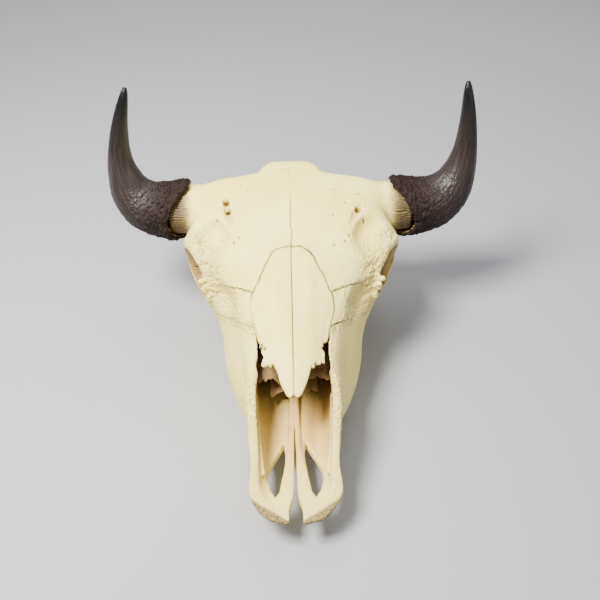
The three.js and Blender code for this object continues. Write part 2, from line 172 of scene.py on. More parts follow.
def face_form():
    """The face: rings through the six profile lines, about a height between the ridge and the palate."""
    y = np.clip(ROWS, 9, 374)
    nought = np.zeros_like(y)
    lines = [
        (nought, nasal_line(y)), (shoulder_x(y), shoulder_z(y)), (brow_x(y), brow_z(y)),
        (cheek_x(y), cheek_z(y)), (gum_x(y), gum_z(y)), (nought, palate_z(y)),
    ]
    points = np.stack([np.stack(pair, 1) for pair in lines], 1)
    low_middle = 0.5 * (shoulder_z(y) + gum_z(y)) + 0.25 * (nasal_line(y) - shoulder_z(y))
    middle = np.minimum(0.5 * (nasal_line(y) + palate_z(y)), low_middle)
    return form(radius_by_direction(rounded_half(points), middle), middle, 9, 374)


face = face_form()

# The forehead, the braincase and the back of the skull
# Broad smooth roof with a squared crest behind the horns, a narrow braincase under it and the plate that
# the neck joins. Three bodies of rings, run into each other with wide fillets.
roof_top = along(
    (258, 150), (290, 194), (320, 214), (360, 229), (400, 236), (450, 236), (482, 235), (496, 231),
    (503, 226),
)
roof_half = along(
    (258, 40), (290, 74), (318, 108), (345, 137), (368, 146), (400, 135), (430, 128), (452, 114),
    (465, 62), (482, 46), (503, 35),
)
roof_edge = along(
    (258, 130), (290, 172), (330, 183), (368, 187), (400, 190), (450, 200), (475, 200), (503, 200)
)
roof_under = along((258, 110), (290, 152), (345, 166), (400, 160), (450, 158), (503, 160))
roof_power = along((258, 2.3), (370, 2.5), (420, 3.4), (455, 4.6), (503, 5))
brain_half = along((330, 50), (370, 50), (420, 58), (460, 70), (500, 66))
brain_low = along((330, 84), (370, 74), (420, 66), (460, 58), (500, 54))
BRAIN_TOP = 205


def roof_form():
    """The roof: squared ovals about the height of its edge."""
    y = np.clip(ROWS, 258, 503)
    edge = roof_edge(y)
    table = rounded_box(roof_half(y), roof_top(y) - edge, edge - roof_under(y), roof_power(y))
    return form(table, edge, 258, 504)


def braincase_form():
    """The braincase: squared ovals between its floor and a fixed top, hidden in the roof."""
    y = np.clip(ROWS, 330, 500)
    middle = (BRAIN_TOP + brain_low(y)) / 2
    table = rounded_box(brain_half(y), BRAIN_TOP - middle, middle - brain_low(y), np.full_like(y, 2.6))
    return form(table, middle, 330, 500)


def nape_form():
    """The plate at the back: one outline, scaled about its middle from row to row."""
    y = np.clip(ROWS, 458, 506)
    half = np.array([[0, 222], [40, 205], [76, 172], [103, 124], [96, 84], [56, 56], [0, 52]], float)
    share = along((458, 0.8), (474, 0.97), (486, 1), (497, 0.95), (506, 0.8))(y)
    points = (half[None] - np.array([0, 130])) * share[:, None, None] + np.array([0, 130])
    middle = np.full_like(y, 130)
    return form(radius_by_direction(rounded_half(points), middle), middle, 458, 504)


roof, braincase, nape = roof_form(), braincase_form(), nape_form()

# Processes and rims
# The horn cores, the cheek arches, the bars behind the eyes, the hanging blades, the neck bearings and
# the ear capsules: round ropes and ovals of the same bone, some laid side by side to make a blade.
FAR = 30.0


def near(p, low, high, margin, measure):
    """A distance worked out only in a box, and far elsewhere."""
    keep = np.ones(p["x"].shape, bool)
    for axis, least_here, most_here in zip("xyz", low, high):
        keep &= (p[axis] > least_here - margin) & (p[axis] < most_here + margin)
    out = np.full(p["x"].shape, FAR, np.float32)
    if keep.any():
        out[keep] = measure({key: value[keep] for key, value in p.items()})
    return out


def curve_through(path, samples):
    """Points along a smooth path: cubics by chord length, the slope at a knot that of its neighbours."""
    path = np.asarray(path, float)
    chord = np.concatenate([[0], np.cumsum(np.linalg.norm(np.diff(path, axis=0), axis=1))])
    at = np.linspace(0, chord[-1], samples)
    points = np.stack([along(*zip(chord, path[:, axis]))(at) for axis in range(3)], 1).astype(float)
    return points, at / chord[-1]


def rope(path, radii, samples=13):
    """A round rope along a smooth path: distance to its nearest straight piece, less the radius there."""
    points, share = curve_through(path, samples)
    thick = np.interp(share, np.linspace(0, 1, len(radii)), radii)

    def measure(p):
        best = np.full(p["x"].shape, 1e3, np.float32)
        for a, b, ra, rb in zip(points[:-1], points[1:], thick[:-1], thick[1:]):
            d = b - a
            qx, qy, qz = p["x"] - a[0], p["y"] - a[1], p["z"] - a[2]
            h = np.clip((qx * d[0] + qy * d[1] + qz * d[2]) / (d @ d), 0, 1)
            off = np.sqrt((qx - h * d[0]) ** 2 + (qy - h * d[1]) ** 2 + (qz - h * d[2]) ** 2)
            np.minimum(best, off - (ra + h * (rb - ra)), out=best)
        return best

    reach = thick.max()
    return lambda p: near(p, points.min(0) - reach, points.max(0) + reach, 26, measure)


def oval(centre, radii):
    """An ellipsoid: its usual near-surface distance k0 (k0 - 1) / k1."""
    c = np.asarray(centre, np.float32)
    r = np.asarray(radii, np.float32)

    def measure(p):
        u, v, w = (p["x"] - c[0]) / r[0], (p["y"] - c[1]) / r[1], (p["z"] - c[2]) / r[2]
        k0 = np.sqrt(u * u + v * v + w * w)
        k1 = np.sqrt((u / r[0]) ** 2 + (v / r[1]) ** 2 + (w / r[2]) ** 2)
        return k0 * (k0 - 1) / np.maximum(k1, 1e-6)

    return lambda p: near(p, c - r, c + r, 26, measure)


def together(bodies, soft):
    """Several bodies run into one with the same fillet."""

    def measure(p):
        out = bodies[0](p)
        for body in bodies[1:]:
            out = least(out, body(p), soft)
        return out

    return measure


core_rope = rope([(92, 438, 191), (130, 439, 190), (178, 440, 189)], [37, 35, 34.5], 6)
cheek_arch = together([
    rope([(100, 312, 100 + d), (119, 350, 98 + d), (128, 384, 100 + 0.7 * d), (125, 416, 105 + 0.6 * d),
          (110, 442, 108 + 0.6 * d), (80, 460, 110 + 0.6 * d)], [9, 6.5, 5.5, 5.5, 6.5, 8], 22)
    for d in (-9, 0, 9)
], 6.0)
eye_bar = together([
    rope([(138, 366 + d, 190), (142, 377 + d, 163), (135, 376 + d, 130), (124, 362 + d, 100)],
         [7, 5.5, 5.5, 7], 14)
    for d in (-4, 5)
], 3.0)
hanging_blade = together([
    rope([(74, 476 + d, 84), (78, 479 + d, 46), (75, 479 + 0.7 * d, 20), (71, 479 + 0.5 * d, -6)],
         [9, 7.5, 6, 4.5], 12)
    for d in (-7, 0, 7)
], 6.0)
neck_bearing = rope([(14, 498, 53), (25, 506, 57), (37, 507, 71), (40, 500, 92)], [13, 17, 17, 12], 26)
throat_blade = together([
    rope([(34, 306, 52 + d), (30, 330, 50 + d), (27, 352, 58 + d), (26, 372, 78 + d)],
         [3.5, 3.2, 3.2, 3.5], 10)
    for d in (-10, -4, 3, 10)
], 3.0)
ear_capsule = oval([48, 456, 54], [17, 24, 20])
jaw_seat = oval([92, 452, 98], [28, 22, 16])
temple = oval([100, 405, 140], [32, 43, 31])
nape_ridge = rope([(0, 503, 214), (0, 506, 170), (0, 503, 128)], [5, 4, 3], 8)
nape_dip = oval([34, 518, 166], [24, 22, 34])
brow_dip = oval([110, 338, 216], [24, 34, 19])
tear_dip = oval([103, 264, 163], [25, 32, 25])


def horn_core(p):
    """The core, ended square inside the sheath."""
    return most(core_rope(p), p["x"] - 175, 4.0)


# Eye sockets
# A flared tube of bone on each side with a thick, uneven rim, orange-tan inside and darkened brown by
# painted shade. Measured along its own axis, which points outwards, forwards and a little down; the socket
# is then hollowed out of it.
EYE = np.array([129.0, 347.0, 152.0])
EYE_FACES = np.array([0.89, -0.44, -0.06])
EYE_FACES /= np.linalg.norm(EYE_FACES)
EYE_BACK = np.cross([0, 0, 1.0], EYE_FACES)
EYE_BACK /= np.linalg.norm(EYE_BACK)
EYE_UP = np.cross(EYE_FACES, EYE_BACK)


def by_eye(p):
    """Places as seen from the socket: out along its axis, radius from it, and the turn from up to back."""
    q = [p[axis] - EYE[i] for i, axis in enumerate("xyz")]
    out, back, up = (sum(q[i] * d[i] for i in range(3)) for d in (EYE_FACES, EYE_BACK, EYE_UP))
    return out, np.hypot(back, up), np.arctan2(back, up)


def eye_rim(p):
    """The rim: a ring whose radius and thickness wander with the turn."""

    def measure(q):
        out, radius, turn = by_eye(q)
        wander = 1.2 * np.sin(3 * turn + 0.6) + 0.8 * np.sin(5 * turn + 2.1)
        thick = 5.6 + 0.8 * np.sin(2 * turn + 1.0) + 0.5 * np.sin(7 * turn)
        return np.hypot(radius - 38.5 - wander, 0.85 * out) - thick

    return near(p, EYE - 50, EYE + 50, 20, measure)


def eye_tube(p):
    """The flared tube that carries the rim."""

    def measure(q):
        out, radius, _ = by_eye(q)
        return most(most((radius - 42 + 0.21 * out) * 0.97, out - 2, 4.0), -46 - out, 8.0)

    return near(p, EYE - 90, EYE + 60, 20, measure)


def eye_socket(p):
    """The hollow: a bowl whose radius goes by the depth."""

    def measure(q):
        out, radius, turn = by_eye(q)
        bowl = np.interp(out, [-60, -52, -34, -4, 30], [2, 18, 31, 35, 38]) + 0.7 * np.sin(4 * turn)
        return np.maximum((radius - bowl) * 0.92, -60 - out)

    return near(p, EYE - 75, EYE + 75, 20, measure)


eye_knobs = together([
    oval([123, 306, 168], [5, 4, 4]), oval([119, 302, 158], [5, 4, 7]), oval([114, 300, 143], [4, 5, 8])
], 3.0)

# Nose opening and palate
# The hollow of the nose, open in front under the two long nasal bones; a thin uneven rim; the twin
# openings and the slit of the snout tip. Tan inside, with painted brown shade in the depth. All cut from the
# face by polygons and offsets.
nasal_half = along(
    (127, 4), (129, 8), (135, 12), (148, 17.5), (160, 21), (165, 24), (168, 34), (172, 41), (190, 42),
    (203, 44.5), (211, 46.5), (225, 50), (240, 54), (255, 53.5), (263, 50.5), (274, 45), (287, 38.5),
    (300, 31), (309, 26), (314, 21), (317, 15), (319, 8), (320, 2),
)
opening_edge = along((-20, 50), (12, 52), (35, 58), (52, 67), (120, 110), (193, 157), (230, 180))
nose_half = along((-10, 46), (50, 46), (100, 47), (150, 49), (193, 49), (250, 54), (290, 44))
FISSURE = [
    (25, 43), (31, 54), (35, 70), (34, 82), (27, 98), (14, 121), (12, 108), (13, 92), (16, 72), (20, 50)
]
slit_half = along((-20, 8), (16, 8.5), (28, 8), (40, 4), (52, 2.4), (110, 1.1), (124, 0.6), (140, 0.2))
strip_half = along((50, 22), (70, 16), (90, 12), (110, 9), (150, 7.5), (200, 6.5), (300, 6))
strip_rise = along((50, -2), (70, 2), (90, 6), (110, 9), (160, 14), (240, 26), (300, 40))


def polygon(u, v, corners):
    """Distance to a closed outline in a plane, negative inside: nearest edge, with the sign by crossings."""
    best = np.full(u.shape, 1e9)
    inside = np.zeros(u.shape, bool)
    for (u0, v0), (u1, v1) in zip(corners[-1:] + corners[:-1], corners):
        du, dv = u1 - u0, v1 - v0
        h = np.clip(((u - u0) * du + (v - v0) * dv) / (du * du + dv * dv), 0, 1)
        best = np.minimum(best, np.hypot(u - u0 - h * du, v - v0 - h * dv))
        inside ^= ((v0 <= v) != (v1 <= v)) & (u < u0 + du * (v - v0) / (dv if dv else 1e-9))
    return np.where(inside, -best, best)


def table_of(corners, across):
    """An outline's distance on the grid, seen from above (x, y) or from the side (y, z), read by mixing the
    four nearest values."""
    i, j = (0, 1) if across == "top" else (1, 2)
    u, v = (LOW[k] + PITCH * np.arange(COUNT[k]) for k in (i, j))
    table = polygon(*np.meshgrid(u, v, indexing="ij"), corners).astype(np.float32)

    def measure(p):
        s = np.clip((p["xyz"[i]] - LOW[i]) / PITCH, 0, COUNT[i] - 1.001)
        t = np.clip((p["xyz"[j]] - LOW[j]) / PITCH, 0, COUNT[j] - 1.001)
        m, n = s.astype(np.int32), t.astype(np.int32)
        s, t = s - m, t - n
        first = table[m, n] * (1 - t) + table[m, n + 1] * t
        return first * (1 - s) + (table[m + 1, n] * (1 - t) + table[m + 1, n + 1] * t) * s

    return measure


def grain(p, size, seed):
    """Smooth noise from -1 to 1: random values on a cubic lattice, mixed by the eased place in the cell."""
    lattice = np.random.default_rng(seed).uniform(-1, 1, (32, 32, 32)).astype(np.float32)
    size = np.broadcast_to(np.asarray(size, np.float32), 3)
    cell, ease = [], []
    for axis, width in zip("xyz", size):
        q = p[axis] / width + 101.7
        whole = np.floor(q).astype(np.int32)
        t = q - whole
        cell.append(whole)
        ease.append((t * t * (3 - 2 * t)).astype(np.float32))
    out = np.zeros(p["x"].shape, np.float32)
    for i in (0, 1):
        for j in (0, 1):
            for k in (0, 1):
                share = (ease[0] if i else 1 - ease[0]) * (ease[1] if j else 1 - ease[1])
                corner = lattice[(cell[0] + i) & 31, (cell[1] + j) & 31, (cell[2] + k) & 31]
                out += share * (ease[2] if k else 1 - ease[2]) * corner
    return out


nasal_rows = np.concatenate([np.arange(127, 186, 1.5), np.arange(186, 320.1, 4)])
nasal_side = list(zip(nasal_half(nasal_rows).tolist(), nasal_rows.tolist()))
nasal_plan = table_of(nasal_side + [(-x, y) for x, y in reversed(nasal_side)], "top")
fissure_plan = table_of(FISSURE, "top")


def nose_hollow(p):
    """The hollow: the face set in by the thickness of its wall, narrowed at the sides, above the palate."""
    wall = 4.2 + 5 * np.clip((shoulder_z(p["y"]) + 4 - p["z"]) / 16, 0, 1)
    out = most(face(p) + wall, np.abs(p["x"]) - nose_half(p["y"]), 10.0)
    return most(most(out, palate_z(p["y"]) + 9 - p["z"], 26.0), p["y"] - 290, 10.0)


def nose_opening(p):
    """All above the rim of the opening in side view, in front of and beside the nasal bones, and the narrow
    gap that runs back between them and the side wall."""
    above = np.maximum((opening_edge(p["y"]) - p["z"]) * 0.84, p["y"] - 190)
    gap = np.maximum(nasal_plan(p) - 5 * np.clip((213 - p["y"]) / 36, 0, 1), p["y"] - 213)
    gap = np.maximum(gap, 120 - p["z"])
    return np.maximum(np.minimum(above, gap), -nasal_plan(p) + 0.2)


def tip_slit(p):
    """The slit between the two halves of the tip, a notch in front."""
    return np.maximum(np.maximum(np.abs(p["x"]) - slit_half(p["y"]), p["y"] - 138), p["z"] - 72)


def middle_strip(p):
    """The pair of strips that run back along the middle of the floor."""
    top = palate_z(p["y"]) + 9 + strip_rise(p["y"])
    out = most(np.abs(p["x"]) - strip_half(p["y"]), p["z"] - top, 4.0)
    return np.maximum(np.maximum(out, 50 - p["y"]), np.maximum(p["y"] - 288, 44 - p["z"]))


inner_rim = rope([(47, 150, 116), (46, 120, 97), (43, 92, 80), (39, 70, 66)], [2, 2.6, 2.6, 2], 10)
cheek_hole = rope([(52, 172, 74), (66, 160, 72), (76, 150, 70)], [4, 5, 6], 5)


def throat(p):
    """The inner nostrils: a squared oval tunnel."""
    round_off = (np.abs(p["x"]) / 20) ** 2.6 + (np.abs(p["z"] - 58) / 27) ** 2.6
    out = (round_off ** (1 / 2.6) - 1) * 20
    return np.maximum(np.maximum(out, 312 - p["y"]), p["y"] - 372)


# Cheek teeth
# Six worn teeth on each side, the front three single and the back three two-lobed, ivory and a little grey.
# Squared ovals side by side, with ribs down the outer face, standing on the floor.
TEETH = [(19, 17), (21, 21), (21, 24), (27, 26), (31, 27), (32, 26)]
TOOTH_ROW_START = 160.0


def tooth_lobes():
    """Middle and half sizes of each lobe, from the front."""
    start, lobes = TOOTH_ROW_START, []
    for n, (length, width) in enumerate(TEETH):
        count = 1 if n < 3 else 2
        middle = float(gum_x(start + length / 2)) - width / 2 - 2
        for j in range(count):
            lobes.append((middle, start + length * (j + 0.5) / count, width / 2, 0.52 * length / count))
        start += length
    return lobes


LOBES = tooth_lobes()


def teeth(p):
    """Lobes in plan, each (|u|^3 + |v|^3)^(1/3) - 1, pinched at the neck and hollowed a little on top."""

    def measure(q):
        best = np.full(q["x"].shape, 1e3, np.float32)
        flare = 1 + 0.06 * np.clip(1 - q["z"] / 26, 0, 1)
        for x, y, wide, long in LOBES:
            u, v = (q["x"] - x) / (wide * flare), (q["y"] - y) / long
            rib = 0.05 * np.cos(np.pi * 2 * v) * np.clip(u, 0, 1)
            lobe = ((np.abs(u) ** 3 + np.abs(v) ** 3) ** (1 / 3) - 1 - rib) * min(wide, long)
            cup = 1.6 * np.exp(-((u * 2.0) ** 2 + (v * 1.8) ** 2))
            best = least(best, np.maximum(lobe, cup - q["z"]), 1.0)
        return np.maximum(best, np.maximum(-q["z"], q["z"] - 44))

    return near(p, (30, 155, 0), (92, 316, 44), 12, measure)


# The whole skull
# All of the above in one field of distances, negative in bone, on a grid of the left half.
# The grid is worked out coarsely first and then finely near the surface only.
def fissure(p):
    """The opening on each side of the snout tip: its outline in plan, cut through the floor."""
    return np.maximum(fissure_plan(p), p["z"] - 75)


def neck_hole(p):
    """The round hole for the spinal cord: distance from its axis, less its radius."""
    return np.hypot(p["x"], p["z"] - 87) - 19


def neck_tunnel(p):
    """The same hole, from the back of the skull into the braincase."""
    return np.maximum(neck_hole(p), 466 - p["y"])


STEPS = [
    ("add", roof, 16), ("add", eye_tube, 14), ("add", braincase, 12), ("add", nape, 10),
    ("add", horn_core, 14), ("add", jaw_seat, 10), ("add", ear_capsule, 6), ("add", neck_bearing, 6),
    ("add", nape_ridge, 8), ("cut", nape_dip, 14), ("cut", temple, 10), ("cut", tear_dip, 12),
    ("cut", brow_dip, 12), ("add", eye_rim, 8), ("cut", eye_socket, 4), ("add", eye_knobs, 4),
    ("add", eye_bar, 8), ("add", cheek_arch, 8), ("add", hanging_blade, 8), ("add", throat_blade, 6),
    ("cut", nose_hollow, 3), ("add", middle_strip, 3), ("cut", nose_opening, 3), ("add", inner_rim, 4),
    ("cut", fissure, 4), ("cut", tip_slit, 2), ("cut", cheek_hole, 5), ("cut", throat, 5),
    ("cut", neck_tunnel, 4), ("add", teeth, 2),
]


def skull(p):
    """The face, with each body in turn run into it or cut out of it by a fillet, above the floor."""
    out = face(p)
    for step, body, fillet in STEPS:
        out = least(out, body(p), fillet) if step == "add" else most(out, -body(p), fillet)
    return np.maximum(out, -p["z"])


def at_grid(*index):
    """Places at grid points."""
    return places(*(LOW[k] + PITCH * index[k] for k in range(3)))


def half_field(coarse=6, reach=11.0):
    """Distances on the half grid, and only their sign away from the surface."""
    steps = [np.minimum(np.arange(0, n + coarse, coarse), n - 1) for n in COUNT]
    corners = np.meshgrid(*steps, indexing="ij")
    rough = skull(at_grid(*(c.ravel() for c in corners))).reshape(corners[0].shape)
    blocks = [len(s) - 1 for s in steps]
    shifted = [rough[i : i + blocks[0], j : j + blocks[1], k : k + blocks[2]]
               for i in (0, 1) for j in (0, 1) for k in (0, 1)]
    low, high = np.minimum.reduce(shifted), np.maximum.reduce(shifted)

    def spread(block):
        for axis in range(3):
            block = np.repeat(block, coarse, axis)
        return np.ascontiguousarray(block[: COUNT[0], : COUNT[1], : COUNT[2]])

    field = spread(np.where(high < 0, -20, 20).astype(np.float32))
    index = np.nonzero(spread((low < reach) & (high > -reach)))
    field[index] = skull(at_grid(*index))
    return field


half = half_field()

# The bones
# Frontals, nasals, lacrimals, cheekbones, jaws and snout bones on each side and one braincase, of dense
# ivory bone. Each is cut out of the skull along jagged sutures, which stay as fine dark gaps where the
# photo shows them.
SHIFT_BACK = 267.297
BRAINCASE_FACES_KEPT = 0.48
SNOUT_SIDE = [(-99, -99), (98, -99), (102, 48), (128, 84), (160, 140), (160, 400), (-99, 400)]
SNOUT_STRIP = [(-10, 60), (10, 60), (8.5, 142), (-8.5, 142)]
TEAR_SIDE = [
    (203, 172), (211, 169.5), (224, 165), (240, 156), (272, 134), (290, 121), (338, 113), (338, 152),
    (303, 167), (299, 169), (286, 178), (274, 184), (264, 186.5), (257, 190), (250, 200), (203, 216),
]
CHEEK_SIDE = [(262, 90), (285, 64), (330, 56), (428, 60), (408, 138), (356, 138), (345, 118), (290, 120)]
JAW_SIDE = [
    (60, -99), (332, -99), (332, 106), (290, 121), (272, 134), (240, 156), (224, 165), (211, 169.5),
    (203, 172), (203, 400), (60, 400),
]
BROW_SIDE = [(200, 160), (345, 138), (400, 138), (404, 162), (478, 166), (466, 400), (200, 400)]
snout_side, tear_side = table_of(SNOUT_SIDE, "side"), table_of(TEAR_SIDE, "side")
cheek_side, jaw_side = table_of(CHEEK_SIDE, "side"), table_of(JAW_SIDE, "side")
brow_side, snout_strip = table_of(BROW_SIDE, "side"), table_of(SNOUT_STRIP, "top")


def ramp(value, low, high):
    """An eased step from 0 at low to 1 at high."""
    t = np.clip((value - low) / (high - low), 0, 1)
    return t * t * (3 - 2 * t)


def bone_regions(p, side):
    """For each bone, in the order in which they are cut: its name, the distance to its border (negative
    inside), the gap left there and how dark the suture is. The borders wander by noise of two sizes."""
    x, y, z = p["x"], p["y"], p["z"]
    seed = 40 + side
    coarse = grain(p, 9.0, seed)
    fine = grain(p, (3.4, 3.4, 6.0), seed + 5)
    jag = 1.5 * coarse + 0.9 * fine
    torn = ramp(x, 20, 26) * ramp(-y, -206, -196)
    arch = ramp(y, 250, 262)
    tatters = 4 + 5.5 * fine + 3 * grain(p, 5.0, seed + 9)
    blunt_tip = 127.5 + np.minimum(0.16 * (x - 5) ** 2, 6)
    nasal = nasal_plan(p) + jag * (0.35 + 0.45 * arch) + torn * tatters
    nasal = np.maximum(np.maximum(nasal, nasal_line(y) - 40 - z), blunt_tip - y)
    snout = np.minimum(snout_side(p) + jag, np.maximum(snout_strip(p), z - 66))
    tear = np.maximum(tear_side(p) + jag, 36 - x)
    cheek = np.maximum(cheek_side(p) + jag, 72 - x)
    upper = ramp(z, 160, 168) * ramp(-x, -104, -74)
    return [
        ("nasal", nasal, 0.1 + 0.55 * arch, 0.3 + 0.7 * arch),
        ("premaxilla", snout, -0.7, 0.06),
        ("lacrimal", tear, -0.6 + 1.1 * upper, 0.16 + 0.75 * upper),
        ("zygomatic", cheek, -0.7, 0.08),
        ("maxilla", jaw_side(p) + jag, -0.7, 0.08),
        ("frontal", brow_side(p) + 1.5 * jag, -0.7, 0.05),
    ]


def middle_wander(p, side):
    """How far the midline suture strays: a slow wave with small kinks, the same for both sides."""
    kink = {"x": np.zeros_like(p["y"]), "y": p["y"], "z": p["z"]}
    stray = 1.5 * grain(kink, 16.0, 71) + 0.9 * grain(kink, 5.0, 72) + 0.35 * grain(kink, 2.4, 73)
    return side * stray * ramp(p["y"], 316, 330)


def net(field, low):
    """Faces of the surface where a field is zero: a point in each cell that it crosses, at the mean of the
    crossings of the cell's edges, and a four-sided face round each grid edge that it crosses."""
    size = np.array(field.shape) - 1
    inside = field < 0
    corners = [(i, j, k) for i in (0, 1) for j in (0, 1) for k in (0, 1)]
    count = np.zeros(size, np.int8)
    for i, j, k in corners:
        count += inside[i : i + size[0], j : j + size[1], k : k + size[2]]
    cells = np.argwhere((count > 0) & (count < 8))
    value = np.stack([field[tuple((cells + c).T)] for c in corners], 1)
    total, hits = np.zeros((len(cells), 3)), np.zeros((len(cells), 1))
    for a, corner in enumerate(corners):
        for axis in range(3):
            if corner[axis]:
                continue
            b = a + (4, 2, 1)[axis]
            cross = ((value[:, a] < 0) != (value[:, b] < 0))[:, None]
            share = value[:, a] / np.where(cross[:, 0], value[:, a] - value[:, b], 1)
            total += cross * (np.array(corner) + share[:, None] * np.eye(3)[axis])
            hits += cross
    points = (cells + total / hits) * PITCH + low
    name = np.full(size, -1, np.int32)
    name[tuple(cells.T)] = np.arange(len(cells))
    faces = []
    for axis in range(3):
        b, c = (axis + 1) % 3, (axis + 2) % 3
        here, there = ([slice(1, -1)] * 3 for _ in range(2))
        here[axis], there[axis] = slice(0, -1), slice(1, None)
        first, second = inside[tuple(here)], inside[tuple(there)]
        for crossed, turned in ((first & ~second, False), (~first & second, True)):
            at = np.argwhere(crossed)
            at[:, b] += 1
            at[:, c] += 1
            around = []
            for db, dc in ((1, 1), (0, 1), (0, 0), (1, 0)):
                cell = at.copy()
                cell[:, b] -= db
                cell[:, c] -= dc
                around.append(name[tuple(cell.T)])
            around = np.stack(around, 1)
            faces.append(around[:, ::-1] if turned else around)
    return points, np.concatenate(faces)


def largest(points, faces):
    """The largest connected piece: labels pass along edges, the lowest wins, until none changes."""
    label = np.arange(len(points))
    while True:
        lowest = label[faces].min(axis=1)
        new = label.copy()
        np.minimum.at(new, faces.ravel(), np.repeat(lowest, 4))
        new = new[new]
        if np.array_equal(new, label):
            break
        label = new
    keep = label == np.bincount(label).argmax()
    renamed = np.cumsum(keep) - 1
    return points[keep], renamed[faces[keep[faces[:, 0]]]]


def normals_of(points, faces):
    """Outward directions at the points: the sum of the crossed diagonals of the faces round each."""
    cross = np.cross(points[faces[:, 2]] - points[faces[:, 0]], points[faces[:, 3]] - points[faces[:, 1]])
    out = np.stack([np.bincount(faces.ravel(), np.repeat(cross[:, k], 4), len(points)) for k in range(3)], 1)
    return out / np.maximum(np.linalg.norm(out, axis=1, keepdims=True), 1e-12)


def new_piece(name, points, faces, marks, material, side=1, corners=np.zeros((0, 3), int)):
    """A piece from points in millimetres, four-sided faces and any three-sided corners, with each mark a
    number at each point. Side -1 is mirrored and its faces turned. It stands for the solid of its name."""
    if side == -1:
        points = points * np.array([-1, 1, 1])
        faces, corners = faces[:, ::-1], corners[:, ::-1]
    points = (points - np.array([0, SHIFT_BACK, 0])) / 1000
    mesh = bpy.data.meshes.new(name)
    mesh.vertices.add(len(points))
    mesh.vertices.foreach_set("co", np.float32(points).ravel())
    mesh.loops.add(faces.size + corners.size)
    mesh.loops.foreach_set("vertex_index", np.int32(np.concatenate([faces.ravel(), corners.ravel()])))
    mesh.polygons.add(len(faces) + len(corners))
    starts = np.concatenate([np.arange(0, faces.size, 4), faces.size + np.arange(0, corners.size, 3)])
    mesh.polygons.foreach_set("loop_start", np.int32(starts))
    mesh.update(calc_edges=True)
    mesh.shade_smooth()
    for mark, value in marks.items():
        kind = "FLOAT" if value.ndim == 1 else "FLOAT_VECTOR"
        field = mesh.attributes.new(mark, kind, "POINT").data
        field.foreach_set("value" if value.ndim == 1 else "vector", np.float32(value).ravel())
    mesh.materials.append(material)
    piece = bpy.data.objects.new(name, mesh)
    bpy.context.scene.collection.objects.link(piece)
    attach(piece, "root")
    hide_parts(name)
    return piece


# side: 1 is the animal's left, -1 its right. Places of small holes are on that side, in x, y and z.
BROW_HOLES = {
    1: [([(104, 406, 232), (98, 391, 230.5), (91, 376, 229), (83, 356, 228)], [2.2, 4.0, 6.0, 6.0]),
        ([(94, 383, 228), (89, 387, 214)], [4.6, 4.0])],
    -1: [([(91, 405, 231), (88.5, 394, 230)], [3.6, 4.8]), ([(90, 401, 229), (88, 405, 218)], [4.4, 3.6]),
         ([(88.5, 394, 231), (88, 384, 229)], [2.6, 3.6]),
         ([(88, 388, 228.5), (81, 357, 228.5)], [4.6, 6.2]),
         ([(87, 383, 227), (85, 388, 214)], [4.4, 3.6]), ([(86, 370, 227), (100, 346, 226)], [3.6, 2.6])],
}
PORES = {
    1: [(63, 421, 1.9), (77, 393, 1.8), (59, 369, 1.6), (92, 412, 1.6), (79, 339, 1.7), (73, 330, 1.9),
        (58, 323, 1.6), (101, 370, 1.5), (97, 414, 1.5), (106, 400, 1.4)],
    -1: [(70, 433, 1.9), (59, 423, 1.8), (77, 331, 2.0), (70, 337, 1.4), (101, 372, 1.5), (84, 344, 1.5),
         (95, 350, 1.5), (104, 384, 1.4), (97, 392, 1.4)],
}


def side_details(p, distance, side):
    """The holes above the eyes, which differ between the sides, cut as short ropes."""
    for path, radii in BROW_HOLES[side]:
        distance = most(distance, -rope(path, radii, 4)(p), 2.0)
    return distance


def horn_comb(p, side):
    """Fine ridges along the horn core: a cosine of the turn about it, unevenly spaced."""
    about = np.arctan2(p["z"] - 189, p["y"] - 440)
    return np.cos(66 * about + 4.5 * grain(p, 7.0, 21 + side))


def snout_facet(p):
    """1 on the worn facet at the front of the snout, in front of a slanting line, and 0 elsewhere."""
    return ramp(9 + 0.56 * p["x"] - p["y"], -2.5, 2.5) * ramp(-p["z"], -72, -64)


def jaw_band(p):
    """1 along the upper border of the jaw bone, fading within 6 mm of it."""
    return np.exp(-((jaw_side(p) / 6.0) ** 2)) * ramp(p["z"], 118, 136) * ramp(p["x"], 42, 50)


def nose_edge(p):
    """1 along the rim of the nose opening, fading within 2.4 mm of it."""
    return np.exp(-((nose_opening(p) / 2.4) ** 2)) * ramp(p["z"], 92, 112) * ramp(p["x"], 30, 38)


def round_eye(p, middle, wide, out_middle, out_wide):
    """A band round the eye socket: a bell curve of the radius times one of the distance along the axis."""
    out, radius, _ = by_eye(p)
    return np.exp(-(((radius - middle) / wide) ** 2) - ((out - out_middle) / out_wide) ** 2)


